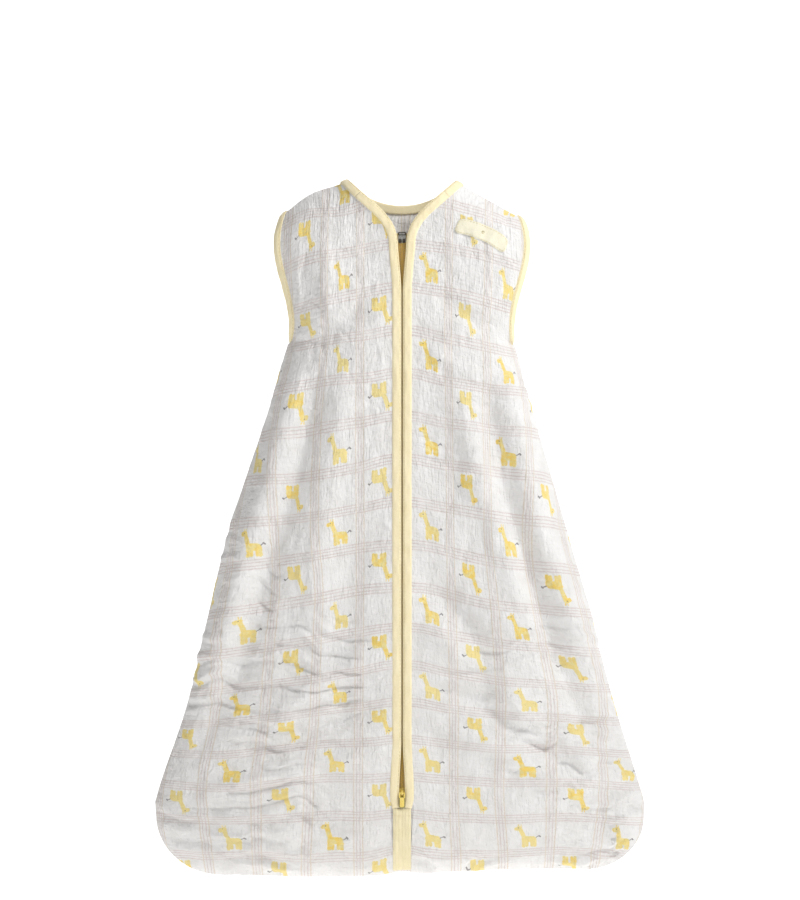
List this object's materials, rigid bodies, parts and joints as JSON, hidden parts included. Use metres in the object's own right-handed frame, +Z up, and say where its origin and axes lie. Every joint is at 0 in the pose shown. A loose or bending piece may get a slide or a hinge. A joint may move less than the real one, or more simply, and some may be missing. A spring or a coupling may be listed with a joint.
{
  "type": "baby sleeping bag",
  "caption": "Sleeveless muslin baby sleeping bag with an inverted centre-front zip, pale yellow bindings and a small all-over animal print.",
  "frame": {"origin": "centre of the neck opening at shoulder-seam height, where the wearer's shoulders hold the bag", "axes": "+Z up toward the neck, front faces -Y, +X toward the wearer's left"},
  "size_m": [0.43, 0.0979, 0.6226],
  "materials": {
    "muslin": "matte",
    "binding": "matte",
    "tape": "matte",
    "teeth": "satin",
    "metal": "satin",
    "slider": "gloss"
  },
  "bodies": {
    "body": {"back_panel": "muslin", "left_front_panel": "muslin", "right_front_panel": "muslin", "neck_binding": "binding", "left_armhole_binding": "binding", "right_armhole_binding": "binding", "bottom_tab": "binding", "chest_label": "binding", "bottom_stop": "metal", "hem_seam": "muslin", "left_side_seam": "muslin", "right_side_seam": "muslin", "left_shoulder_seam": "muslin", "right_shoulder_seam": "muslin"},
    "left_lapel": {"left_front_lapel": "muslin", "left_front_binding": "binding", "left_zip_tape": "tape", "left_zip_teeth": "teeth", "zip_box": "metal"},
    "right_lapel": {"right_front_lapel": "muslin", "right_front_binding": "binding", "right_zip_tape": "tape", "right_zip_teeth": "teeth", "insertion_pin": "metal"},
    "slider": {"slider_body": "slider"},
    "pull": {"slider_pull": "slider"}
  },
  "joints": [
    {"name": "left_front_fold", "type": "hinge", "parent": "body", "child": "left_lapel", "pos_m": [0.0105, -0.03022, -0.551], "axis": [0.0523, -0.0394, 0.9979], "range_deg": [0, 150], "deforming": ["left_front_binding", "left_zip_tape", "left_zip_teeth"]},
    {"name": "right_front_fold", "type": "hinge", "parent": "body", "child": "right_lapel", "pos_m": [-0.0105, -0.03022, -0.551], "axis": [0.0523, 0.0394, -0.9979], "range_deg": [0, 150], "deforming": ["right_front_binding", "right_zip_tape", "right_zip_teeth"]},
    {"name": "zip_slide", "type": "slide", "parent": "left_lapel", "child": "slider", "axis": [0, -0.0394, 0.9992], "range_m": [0, 0.4835]},
    {"name": "pull_swing", "type": "hinge", "parent": "slider", "child": "pull", "pos_m": [0, -0.0326, -0.54459], "axis": [-1, 0, 0], "range_deg": [0, 180]}
  ],
  "couplings": [
    {"joint": "left_front_fold", "follows": "zip_slide", "rad_per_m": 5.4147},
    {"joint": "right_front_fold", "follows": "zip_slide", "rad_per_m": 5.4147}
  ]
}
